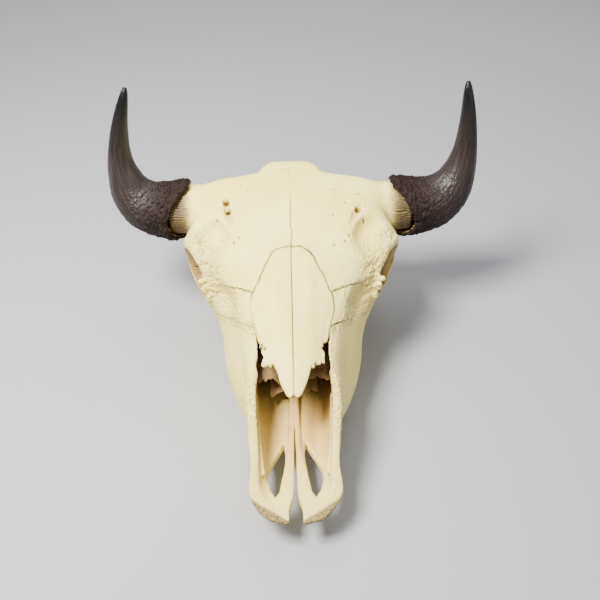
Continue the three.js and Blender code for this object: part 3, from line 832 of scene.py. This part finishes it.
def bone_marks(p, side):
    """Numbers that steer colour and finish: the dark of the sutures with painted shade in the pores, inner
    (tan; in holes part of the painted shade), painted brown shade in the depth of the nose, the eye sockets
    and the holes, porous, rough, fringe and lines of the horn core, and tooth. Each is an eased step of a
    distance to one of the bodies above."""
    seam_and_pore_shade = np.zeros(p["x"].shape, np.float32)
    free = np.full(p["x"].shape, 9.0, np.float32)
    for _, border, _, dark in bone_regions(p, side):
        seam_and_pore_shade = np.maximum(seam_and_pore_shade, dark * np.exp(-((border / 0.95) ** 2)) * ramp(free, -1.2, -0.6))
        free = np.minimum(free, border)
    middle = np.abs(p["x"] - middle_wander(p, side))
    seam_and_pore_shade = np.maximum(seam_and_pore_shade, (0.34 + 0.16 * ramp(p["y"], 300, 318)) * np.exp(-((middle / 0.7) ** 2))
                      * ramp(-p["y"], -412, -394) * ramp(p["z"], 120, 130))
    hollow = ramp(-nose_hollow(p), -3.0, 0.6)
    socket = ramp(-eye_socket(p), -3.5, 0.3)
    # Painted shade: the cheek holes and the hole for the spinal cord are tinted tan and darkened brown, as
    # if in shadow.
    hole_shade = ramp(-np.minimum(cheek_hole(p), neck_hole(p) + FAR * (p["y"] < 464)), -1.0, 0.8)
    snout_tint = 0.4 * ramp(-p["y"], -150, -50)
    inner = np.maximum.reduce([hollow * ramp(p["y"], 24, 130), socket, snout_tint, hole_shade])
    # Painted shade: the nose hollow turns brown further back and up, and the eye sockets turn brown too,
    # where shade falls.
    far_in_shade = hollow * ramp(p["y"] + 0.8 * p["z"], 190, 285)
    painted_depth_shade = np.maximum.reduce([far_in_shade, 0.85 * hole_shade, 0.72 * socket])
    eye_rough = round_eye(p, 51, 15, -8, 20) * ramp(-p["y"], -380, -350)
    tear_rough = 0.6 * ramp(-tear_side(p), -6, 4) * ramp(p["x"], 62, 76)
    temple_rough = 0.5 * ramp(p["y"], 470, 490) * ramp(-p["z"], -215, -190)
    rough = jaw_band(p) + temple_rough + np.maximum(eye_rough, tear_rough) + 0.6 * nose_edge(p)
    fringe = ramp(p["x"] + 3 * grain(p, 8.0, 27 + side), 139, 154) * ramp(p["y"], 390, 400)
    lines = fringe * np.clip(0.35 + 0.45 * horn_comb(p, side) + 0.5 * ramp(p["x"], 148, 162), 0, 1)
    tooth = ramp(-teeth(p), -1.0, 0.2) * ramp(-p["z"], -30, -26)
    for path, radii in BROW_HOLES[side]:
        # Painted shade: the holes above the eyes are tinted tan, and darkened brown where they run deeper
        # under the forehead.
        hole = ramp(-rope(path, radii, 4)(p), -0.9, 0.6)
        inner = np.maximum(inner, 0.75 * hole)
        painted_depth_shade = np.maximum(painted_depth_shade, 0.8 * hole * ramp(roof_top(p["y"]) - p["z"], 6, 14))
    for x, y, radius in PORES[side]:
        # Painted shade: each pore on the forehead is darkened with the suture colour, over the dent that
        # weather() makes there.
        pore_shade = ramp(-np.hypot(p["x"] - x, p["y"] - y), -1.1 * radius, -0.5 * radius) * ramp(p["z"], 190, 200)
        seam_and_pore_shade = np.maximum(seam_and_pore_shade, pore_shade)
    return {"seam_and_pore_shade": seam_and_pore_shade, "inner": inner, "painted_depth_shade": painted_depth_shade, "porous": snout_facet(p),
            "rough": np.clip(rough, 0, 1), "fringe": fringe, "lines": lines, "tooth": tooth}


def weather(p, side):
    """Small relief, by which the points move along their outward directions: slow unevenness, wrinkles round
    the eye rim, pits in the snout facet, fine pores on the forehead, ridges along the horn core."""
    move = 0.5 * grain(p, 27.0, 1 + side) + 0.3 * grain(p, 11.0, 3 + side) + 0.13 * grain(p, 4.5, 5 + side)
    move = move * ramp(p["x"], 0, 12)
    crest = np.exp(-(((p["x"] - 22) / 9) ** 2)) - 0.25 * np.exp(-((p["x"] / 6) ** 2))
    move = move + 1.3 * crest * ramp(p["y"], 150, 190) * ramp(-p["y"], -315, -280) * ramp(p["z"], 140, 150)
    nape_rough = ramp(p["y"], 488, 500) * ramp(-p["z"], -222, -205)
    move = move + nape_rough * (0.7 * grain(p, 7.0, 29) + 0.35 * grain(p, 3.0, 31))
    eye_out, eye_radius, turn = by_eye(p)
    spokes = {"x": 42 * turn, "y": 0.35 * eye_radius, "z": 0.35 * eye_out}
    fold = 1.1 * grain(spokes, 3.4, 9 + side) + 0.8 * grain(p, 3.2, 13 + side)
    fold = fold + 0.5 * grain(p, 7.0, 15 + side)
    move = move + 2.2 * round_eye(p, 49, 13, -6, 17) * fold * ramp(-p["y"], -376, -352)
    move = move - 0.9 * snout_facet(p) * ramp(grain(p, 2.6, 17 + side), -0.1, 0.5)
    move = move + 0.7 * jaw_band(p) * grain(p, 3.0, 19 + side)
    tear = ramp(-tear_side(p), -4, 6) * ramp(p["x"], 60, 72)
    move = move + tear * (0.6 * grain(p, 6.0, 23 + side) + 0.4 * grain(p, 2.8, 25 + side))
    move = move + nose_edge(p) * (0.4 * grain(p, 2.6, 33 + side) + 0.4 * grain(p, 6.0, 35 + side))
    move = move - 0.7 * ramp(p["x"], 149, 158) * ramp(p["y"], 390, 400) * horn_comb(p, side)
    for x, y, radius in PORES[side]:
        off = np.hypot(p["x"] - x, p["y"] - y)
        move = move - 2.2 * ramp(-off, -1.5 * radius, -0.4 * radius) * ramp(p["z"], 190, 200)
    return move


class Finish:
    """A material and the few kinds of node that the finishes here are wired from. A value is a number, a
    colour or the output of another node."""

    def __init__(self, name):
        self.material = bpy.data.materials.new(name)
        self.material.use_nodes = True
        self.surface = self.material.node_tree.nodes["Principled BSDF"]

    def give(self, socket, value):
        """Joins an output to a socket, or sets the socket to a constant."""
        if isinstance(value, bpy.types.NodeSocket):
            self.material.node_tree.links.new(value, socket)
        elif socket.type == "RGBA":
            socket.default_value = (*value, 1)
        else:
            socket.default_value = value

    def put(self, kind, inputs, **settings):
        """A new node with its settings and inputs."""
        node = self.material.node_tree.nodes.new("ShaderNode" + kind)
        for key, value in settings.items():
            setattr(node, key, value)
        for key, value in inputs.items():
            self.give(node.inputs[key], value)
        return node

    def mark(self, which):
        """A number that the mesh holds at its points."""
        return self.put("Attribute", {}, attribute_name=which).outputs["Fac"]

    def noise(self, scale, detail, rough, where=None):
        """Cloudy noise in space, or along another measure."""
        where = where or self.put("TexCoord", {}).outputs["Object"]
        inputs = {"Vector": where, "Scale": scale, "Detail": detail, "Roughness": rough}
        return self.put("TexNoise", inputs).outputs["Fac"]

    def span(self, value, low, high, start=0.0, end=1.0):
        """A value between low and high, moved to lie between start and end."""
        inputs = {"Value": value, "From Min": low, "From Max": high, "To Min": start, "To Max": end}
        return self.put("MapRange", inputs).outputs["Result"]

    def times(self, first, second):
        """The product of two values."""
        return self.put("Math", {0: first, 1: second}, operation="MULTIPLY").outputs["Value"]

    def plus(self, first, second):
        """The sum of two values."""
        return self.put("Math", {0: first, 1: second}, operation="ADD").outputs["Value"]

    def mixed(self, share, first, second):
        """Two colours mixed by a share of the second."""
        return self.put("Mix", {"Factor": share, 6: first, 7: second}, data_type="RGBA").outputs[2]

    def done(self, colour, dull, height, strength):
        """Joins colour, roughness and a relief of the given strength to the surface."""
        bump = self.put("Bump", {"Strength": strength, "Distance": 0.0016, "Height": height})
        self.give(self.surface.inputs["Base Color"], colour)
        self.give(self.surface.inputs["Roughness"], dull)
        self.give(self.surface.inputs["Normal"], bump.outputs["Normal"])
        return self.material


def bone_material(name, ivory, pale, tan, brown):
    """Bone: two ivory tones mixed by slow noise, tan where the marks say and brown as painted shade in the
    depths, dark seams with painted shade in the pores, dark specks painted as shade in pits, fine grain.
    Rougher and pitted where porous; the fringe of the horn core is olive with dark lines."""
    f = Finish(name)
    slow, fine, specks = f.noise(14.0, 5.0, 0.6), f.noise(420.0, 6.0, 0.65), f.noise(150.0, 3.0, 0.5)
    pinhole_shade, pits = f.noise(300.0, 1.0, 0.5), f.noise(260.0, 2.0, 0.5)
    tints = [
        (f.times(f.span(specks, 0.56, 0.74), 0.22), (0.55, 0.43, 0.27)),
        (f.times(f.mark("rough"), f.span(fine, 0.42, 0.66, 0.05, 0.6)), (0.52, 0.37, 0.18)),
        # Painted shade: dark specks in rough bone stand for the shade inside tiny pits.
        (f.times(f.mark("rough"), f.span(pinhole_shade, 0.6, 0.68, 0.0, 0.75)), (0.24, 0.15, 0.06)),
        (f.times(f.mark("inner"), f.span(slow, 0.3, 0.7, 0.82, 1.0)), tan),
        # Painted shade: brown in the depths of the nose, the eye sockets and the holes.
        (f.times(f.mark("painted_depth_shade"), f.span(slow, 0.3, 0.7, 0.75, 1.0)), brown),
        (f.times(f.mark("porous"), f.span(fine, 0.35, 0.65, 0.6, 1.0)), (0.075, 0.045, 0.022)),
        (f.times(f.mark("tooth"), 0.55), (0.74, 0.68, 0.52)),
        (f.times(f.mark("fringe"), 0.9), (0.2, 0.14, 0.045)),
        (f.times(f.mark("lines"), 0.95), (0.035, 0.02, 0.01)),
        # Dark sutures, and painted shade in the pores.
        (f.times(f.mark("seam_and_pore_shade"), f.span(specks, 0.25, 0.6, 0.7, 1.0)), (0.07, 0.038, 0.017)),
    ]
    colour = f.mixed(f.span(slow, 0.35, 0.68), ivory, pale)
    for share, tint in tints:
        colour = f.mixed(share, colour, tint)
    f.surface.inputs["Specular IOR Level"].default_value = 0.35
    f.surface.inputs["Subsurface Weight"].default_value = 0.06
    f.surface.inputs["Subsurface Radius"].default_value = (0.004, 0.0026, 0.0014)
    dull = f.plus(f.span(fine, 0.3, 0.7, 0.42, 0.58), f.times(f.mark("porous"), 0.25))
    pitted = f.times(f.mark("rough"), f.span(pits, 0.36, 0.6, 0.0, 7.0))
    return f.done(colour, dull, f.plus(f.plus(fine, f.times(specks, 1.6)), pitted), 0.42)


BONE_IVORY, BONE_PALE = (0.87, 0.71, 0.16), (0.93, 0.82, 0.28)
# The brown here is painted shade for the depths of hollows and holes; the tan is the bone's own colour
# inside them.
BONE_TAN, BONE_DEPTH_SHADE = (0.60, 0.39, 0.10), (0.12, 0.055, 0.015)
bone = bone_material("bone", BONE_IVORY, BONE_PALE, BONE_TAN, BONE_DEPTH_SHADE)


def add_bone(name, field, low, side):
    """One bone: its surface from the field, marked, then moved outwards by the small relief."""
    points, faces = largest(*net(field, low))
    p = places(np.abs(points[:, 0]), points[:, 1], points[:, 2])
    marks = bone_marks(p, side)
    points = points + normals_of(points, faces) * weather(p, side)[:, None]
    points[:, 2] = np.maximum(points[:, 2], 0)
    return new_piece(name, points, faces, marks, bone, side)


def cut_bones():
    """Cuts the bones of each side in turn; what no bone took on the left is the braincase, mirrored."""
    index = np.nonzero(half < 3 * PITCH)
    p = at_grid(*index)
    whole = half[index]
    for side in (1, -1):
        distance = side_details(p, whole, side)
        middle_gap = 0.16 * ramp(p["y"], 300, 318) - 0.5 * ramp(p["y"], 392, 410) + middle_wander(p, side)
        middle = middle_gap - p["x"] - 0.6 * ramp(-p["z"], -120, -100)
        left = np.full(whole.shape, -50.0, np.float32)
        for name, border, gap, _ in bone_regions(p, side):
            inside = np.maximum(np.maximum(border + gap / 2, left), middle)
            left = np.maximum(left, gap / 2 - border)
            field = np.full(half.shape, 9.0, np.float32)
            field[index] = most(distance, inside, 0.9)
            box = [np.nonzero((field < 0).any(axis=tuple({0, 1, 2} - {k})))[0] for k in range(3)]
            low = np.array([max(b[0] - 2, 0) for b in box])
            cut = tuple(slice(low[k], box[k][-1] + 3) for k in range(3))
            label = f"{name}_{'left' if side == 1 else 'right'}"
            add_bone(label, field[cut], LOW + PITCH * low, side)
        if side == 1:
            rest = np.full(half.shape, 9.0, np.float32)
            rest[index] = most(distance, left, 0.9)
            both = np.concatenate([rest[:3:-1], rest[3:]], axis=0)
            across = np.array([-(len(rest) - 4) * PITCH, LOW[1], LOW[2]])
            thinner = add_bone("braincase", both, across, 1).modifiers.new("fewer faces", "DECIMATE")
            thinner.ratio = BRAINCASE_FACES_KEPT


cut_bones()

# Scrolls in the nose
# A thin brown sheet of bone on each side, rolled like a hook, with a broken front edge, darkened further
# back by painted shade. A grid along its length and round its section, given a thickness on both sides and
# closed at its edges.
SCROLL = [(46, 17), (40, 20), (31, 18), (21, 13), (14, 3), (15, -8), (23, -13), (31, -9)]
SCROLL_PATH = [(0, 170, 92), (0, 188, 99), (0, 215, 112), (0, 250, 128), (0, 272, 133), (0, 286, 133)]
SCROLL_THICK = 0.8


def closed_sheet(front, back):
    """Four-sided faces of a sheet: two grids of points with a strip round the edge between them."""
    rows, cols = front.shape[:2]
    name = np.arange(rows * cols).reshape(rows, cols)
    under = name + rows * cols
    top = np.stack([name[:-1, :-1], name[1:, :-1], name[1:, 1:], name[:-1, 1:]], -1).reshape(-1, 4)
    low = np.stack([under[:-1, :-1], under[:-1, 1:], under[1:, 1:], under[1:, :-1]], -1).reshape(-1, 4)
    edge = np.concatenate([name[0, :-1], name[:-1, -1], name[-1, :0:-1], name[:0:-1, 0]])
    after = np.roll(edge, -1)
    strip = np.stack([edge, after, after + rows * cols, edge + rows * cols], 1)
    return np.concatenate([front.reshape(-1, 3), back.reshape(-1, 3)]), np.concatenate([top, low, strip])


def scroll(side):
    """One scroll: the section swept along its path; its front edge is torn by noise."""
    section = curve_through([(x, 0, z) for x, z in SCROLL], 90)[0]
    share = np.linspace(0, 1, 120)
    path = curve_through(SCROLL_PATH, 400)[0]
    across = np.linspace(0, 1, 90)
    flat = {"x": 40 * across, "y": np.zeros(90), "z": np.zeros(90)}
    torn = 9 + 7 * grain(flat, 5.0, 90 + side) + 5 * grain(flat, 1.9, 92 + side)
    back = path[:, 1][-1]
    y = (path[0, 1] + torn)[None] + (back - path[0, 1] - torn)[None] * share[:, None]
    rise = np.interp(y, path[:, 1], path[:, 2])
    squeeze = 1 - 0.25 * ramp(y, 240, 290)
    points = np.stack([section[None, :, 0] * squeeze, y, rise + section[None, :, 2] * squeeze], -1)
    wave = {"x": points[..., 0], "y": points[..., 1], "z": points[..., 2]}
    points[..., 2] += 1.3 * grain(wave, 9.0, 94 + side)
    du, dv = np.gradient(points, axis=0), np.gradient(points, axis=1)
    out = np.cross(du, dv)
    out /= np.linalg.norm(out, axis=-1, keepdims=True)
    points, faces = closed_sheet(points + SCROLL_THICK * out, points - SCROLL_THICK * out)
    return points, faces


# The brown here is painted shade further back in the nose.
SCROLL_TAN, SCROLL_PALE, SCROLL_DEPTH_SHADE = (0.25, 0.155, 0.045), (0.36, 0.24, 0.08), (0.1, 0.05, 0.016)
inner_bone = bone_material("inner_bone", SCROLL_TAN, SCROLL_PALE, SCROLL_TAN, SCROLL_DEPTH_SHADE)
for side, label in ((1, "turbinate_left"), (-1, "turbinate_right")):
    points, faces = scroll(side)
    # Painted shade: the scroll turns browner further back in the nose.
    depth = ramp(points[:, 1], 175, 220)
    new_piece(label, points, faces, {"painted_depth_shade": depth}, inner_bone, side)

# Horn sheaths
# Hollow horn, rough and scaly maroon-brown at the root, streaked grey-brown above and glossy black at the
# tip. Rings carried along a curved path, ragged at the rim, turned in over the core; the two sides curve
# unlike.
HORN_PATH = [
    (150, 440, 189), (184, 440, 189), (212, 442, 197), (232, 447, 216), (242, 453, 243), (245, 459, 272),
    (242, 470, 313), (233, 485, 361),
]
horn_radius = along(
    (0, 43), (0.12, 42), (0.25, 38.5), (0.36, 32), (0.5, 22.5), (0.62, 16.5), (0.75, 12.5), (0.9, 8),
    (0.97, 5), (1, 2.6),
)
HORN_SWAY = {
    1: along((0, 0), (0.4, 1), (0.7, 4), (1, 10)),
    -1: along((0, 0), (0.4, -4), (0.7, -7), (1, -13)),
}
HORN_LENGTH, HORN_ROOT_RADIUS = 330.0, 43
AROUND = 260


def horn(side):
    """One sheath: rings about the path in a frame that turns with it least. The rim is notched in front and
    lies close in elsewhere; the inner wall follows the core, and a point closes the tip and the bore."""
    path, share = curve_through(HORN_PATH, 420)
    path[:, 0] += HORN_SWAY[side](share)
    tangent = np.gradient(path, axis=0)
    tangent /= np.linalg.norm(tangent, axis=1, keepdims=True)
    up = np.empty_like(path)
    up[0] = (0, 0, 1)
    for i in range(1, len(path)):
        leaned = up[i - 1] - tangent[i] * (up[i - 1] @ tangent[i])
        up[i] = leaned / np.linalg.norm(leaned)
    ahead = np.cross(up, tangent)
    turn = np.linspace(0, 2 * np.pi, AROUND, endpoint=False)
    round_x, round_y = HORN_ROOT_RADIUS * np.cos(turn), HORN_ROOT_RADIUS * np.sin(turn)
    ring = {"x": round_x, "y": round_y, "z": np.zeros(AROUND)}
    front = np.sin(turn) * np.sign(ahead[0] @ np.array([0, -1, 0]))
    notch = np.clip(front, 0, 1) ** 1.5
    rim = 0.105 * notch - (1 - notch) * 0.022 * np.cos(turn) + 0.012 * grain(ring, 9.0, 60 + side)
    rim = np.clip(rim + 0.008 * grain(ring, 3.5, 62 + side), -0.05, 0.13)
    steps = np.linspace(0, 1, 330) ** 1.25
    at = rim[None] + (1 - rim)[None] * steps[:, None]

    def placed(at, radius):
        row = np.clip(at, 0, 1) * (len(path) - 1)
        i = np.minimum(row.astype(int), len(path) - 2)
        t = (row - i)[..., None]
        before = np.minimum(at, 0)[..., None] * np.linalg.norm(np.diff(path, axis=0), axis=1).sum()
        centre = path[i] * (1 - t) + path[i + 1] * t + before * tangent[0]
        u, w = up[i] * (1 - t) + up[i + 1] * t, ahead[i] * (1 - t) + ahead[i + 1] * t
        outwards = np.cos(turn)[None, :, None] * u + np.sin(turn)[None, :, None] * w
        return centre + radius[..., None] * outwards

    radius = horn_radius(np.clip(at, 0, 1)).astype(float)
    every = np.ones_like(at)
    spot = {"x": round_x[None] * every, "y": round_y[None] * every, "z": at * HORN_LENGTH}
    root = ramp(-at, -0.56, -0.08)
    collar = ramp(-(at - rim[None]), -0.10, -0.01)
    streak = grain(spot, (3.0, 3.0, 60.0), 64 + side) + 0.6 * grain(spot, (1.6, 1.6, 30.0), 65 + side)
    scale = grain(spot, (5.0, 5.0, 6.0), 66 + side) + 0.7 * grain(spot, (2.4, 2.4, 3.0), 67 + side)
    wrinkle = grain(spot, (14.0, 14.0, 2.6), 68 + side)
    slim = np.clip(radius / 20, 0.1, 1)
    streak = 0.28 * streak * (1 - 0.8 * ramp(at, 0.6, 0.95))
    radius = radius + slim * (streak + root * (1.7 * scale + 0.6 * wrinkle))
    radius = radius + collar * (1.6 + 2.2 * grain(spot, 9.0, 69 + side))
    radius = radius - 3.5 * ramp(-(at - rim[None]), -0.012, 0.0)
    outer = placed(at, radius)
    depth = np.linspace(0, 1, 14)[1:]
    inside_at = rim[None] + (0.13 - rim)[None] * depth[:, None]
    bore = np.interp(depth, [0, 0.25, 1], [39.3, 37.2, 35.6])[:, None] + 0.4 * collar[:13]
    inner = placed(inside_at, bore)
    ends = np.stack([outer[-1].mean(axis=0), inner[-1].mean(axis=0)])
    points = np.concatenate([inner[::-1].reshape(-1, 3), outer.reshape(-1, 3), ends])
    rows = len(inner) + len(outer)
    name = np.arange(rows * AROUND).reshape(rows, AROUND)
    after = np.roll(name, -1, axis=1)
    faces = np.stack([name[:-1], after[:-1], after[1:], name[1:]], -1).reshape(-1, 4)
    along_horn = np.concatenate([inside_at[::-1].ravel() * 0, at.ravel(), [1.0], [0.0]])
    inward = np.concatenate([np.ones(inner.shape[:2]).ravel(), np.zeros(at.size), [0.0], [1.0]])
    way = np.stack([np.tile(np.cos(turn), rows), np.tile(np.sin(turn), rows), along_horn[:-2] * 3.0], 1)
    way = np.concatenate([way, [[0, 0, 3.0], [0, 0, 0]]])
    rough = np.concatenate([np.ones(inside_at.size), root.ravel(), [0.0], [1.0]])
    tip, plug = rows * AROUND, rows * AROUND + 1
    cap = np.stack([name[-1], after[-1], np.full(AROUND, tip)], 1)
    base = np.stack([after[0], name[0], np.full(AROUND, plug)], 1)
    marks = {"along": along_horn, "inward": inward, "way": way, "root": rough}
    return points, faces, np.concatenate([cap, base]), marks


def horn_material():
    """Horn: maroon-brown scales at the root, grey-brown streaks along the length, black at the tip. Dull at
    the root and polished at the tip, with a relief of scales and streaks."""
    f = Finish("horn")
    way = f.put("Attribute", {}, attribute_name="way").outputs["Vector"]
    stretched = f.put("Mapping", {"Vector": way, "Scale": (14.0, 14.0, 1.2)}).outputs["Vector"]
    streak, lines = f.noise(9.0, 6.0, 0.6, way), f.noise(2.2, 5.0, 0.5, stretched)
    scales = f.noise(260.0, 5.0, 0.65)
    root, along_horn = f.mark("root"), f.mark("along")
    tints = [
        (f.times(root, f.span(scales, 0.35, 0.65, 0.4, 1.0)), (0.013, 0.006, 0.0052)),
        (f.times(root, f.span(streak, 0.6, 0.75, 0.0, 0.6)), (0.032, 0.016, 0.011)),
        (f.span(along_horn, 0.55, 0.92), (0.003, 0.0026, 0.0025)),
        (f.mark("inward"), (0.16, 0.11, 0.045)),
    ]
    colour = f.mixed(f.span(lines, 0.35, 0.65), (0.007, 0.0046, 0.004), (0.04, 0.027, 0.023))
    for share, tint in tints:
        colour = f.mixed(share, colour, tint)
    dull = f.plus(f.span(along_horn, 0.25, 0.85, 0.4, 0.15), f.times(root, 0.26))
    f.give(f.surface.inputs["Specular IOR Level"], f.span(root, 0.0, 1.0, 0.42, 0.1))
    height = f.plus(f.times(scales, root), f.times(lines, 0.35))
    return f.done(colour, f.plus(dull, f.span(lines, 0.3, 0.7, -0.05, 0.08)), height, 0.5)


horn_finish = horn_material()
for side, label in ((1, "horn_sheath_left"), (-1, "horn_sheath_right")):
    points, faces, corners, marks = horn(side)
    new_piece(label, points, faces, marks, horn_finish, side, corners)

# Floor, light and camera
# A plain floor under soft studio light: a key lamp above, to the left and in front, a weak one on the
# right and one high at the back. The camera looks down on the forehead at 45 degrees.
bpy.ops.mesh.primitive_plane_add(size=30, location=(0, 0, 0))
floor = bpy.context.object
floor.name = "floor"
floor_paint = bpy.data.materials.new("floor")
floor_paint.use_nodes = True
floor_surface = floor_paint.node_tree.nodes["Principled BSDF"]
floor_surface.inputs["Base Color"].default_value = (0.34, 0.34, 0.35, 1)
floor_surface.inputs["Roughness"].default_value = 0.85
floor.data.materials.append(floor_paint)


def lamp(name, place, aim, size, power, colour):
    """A square lamp at a place, turned to face a point."""
    data = bpy.data.lights.new(name, "AREA")
    data.size = size
    data.energy = power
    data.color = colour
    thing = bpy.data.objects.new(name, data)
    bpy.context.scene.collection.objects.link(thing)
    thing.location = place
    away = np.array(place) - np.array(aim)
    across = np.cross([0, 1.0, 0.001], away)
    across /= np.linalg.norm(across)
    away = away / np.linalg.norm(away)
    tall = np.cross(away, across)
    thing.rotation_euler = Matrix(np.stack([across, tall, away], 1).tolist()).to_euler()


lamp("key", (-0.6, -0.3, 1.5), (0, -0.02, 0.12), 0.5, 90, (1.0, 0.985, 0.95))
lamp("fill", (1.3, -0.6, 1.3), (0, 0, 0.1), 1.4, 6, (0.95, 0.98, 1.0))
lamp("top", (0.1, 0.9, 1.8), (0, 0.1, 0.1), 1.2, 17, (1.0, 1.0, 1.0))
world = bpy.data.worlds.new("studio")
world.use_nodes = True
world.node_tree.nodes["Background"].inputs["Color"].default_value = (0.9, 0.93, 1.0, 1)
world.node_tree.nodes["Background"].inputs["Strength"].default_value = 0.55
bpy.context.scene.world = world

lens = bpy.data.cameras.new("camera")
lens.lens = 42.18
lens.sensor_width = 36
lens.shift_x = 0.013
camera = bpy.data.objects.new("camera", lens)
bpy.context.scene.collection.objects.link(camera)
camera.location = (0, -0.6569, 0.8252)
camera.rotation_mode = "QUATERNION"
look_down, roll = Matrix.Rotation(np.pi / 4, 3, "X"), Matrix.Rotation(np.radians(-1.1), 3, "Z")
camera.rotation_quaternion = (look_down @ roll).to_quaternion()
bpy.context.scene.camera = camera
